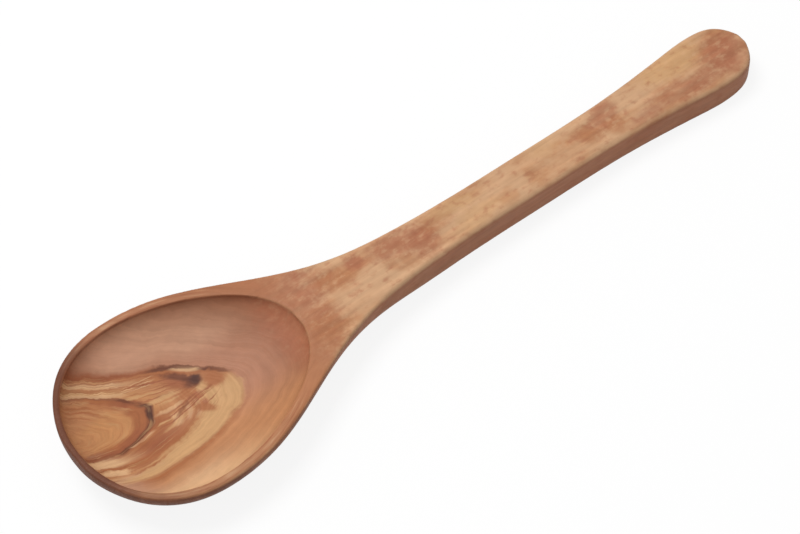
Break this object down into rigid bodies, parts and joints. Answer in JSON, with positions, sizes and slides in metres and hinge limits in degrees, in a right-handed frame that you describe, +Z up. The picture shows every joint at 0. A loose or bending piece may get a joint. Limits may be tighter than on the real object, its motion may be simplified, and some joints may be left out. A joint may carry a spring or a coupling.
{
  "type": "wooden spoon",
  "caption": "One-piece carved wooden spoon with a flat top, an egg-shaped bowl, a flared neck and a slab handle ending in a rounded club, for stirring and serving.",
  "frame": {"origin": "centre of the bounding box in X and Y, on the table that the spoon lies on", "axes": "+X runs from the tip of the bowl to the end of the handle, +Y across the bowl, square to the plane in which the two sides mirror each other, +Z up, out of the hollow of the bowl"},
  "size_m": [0.2801, 0.074, 0.0186],
  "materials": {
    "wood": "figured olive-like hardwood, sanded and oiled, satin"
  },
  "bodies": {
    "root": {"spoon": "wood"}
  },
  "joints": []
}
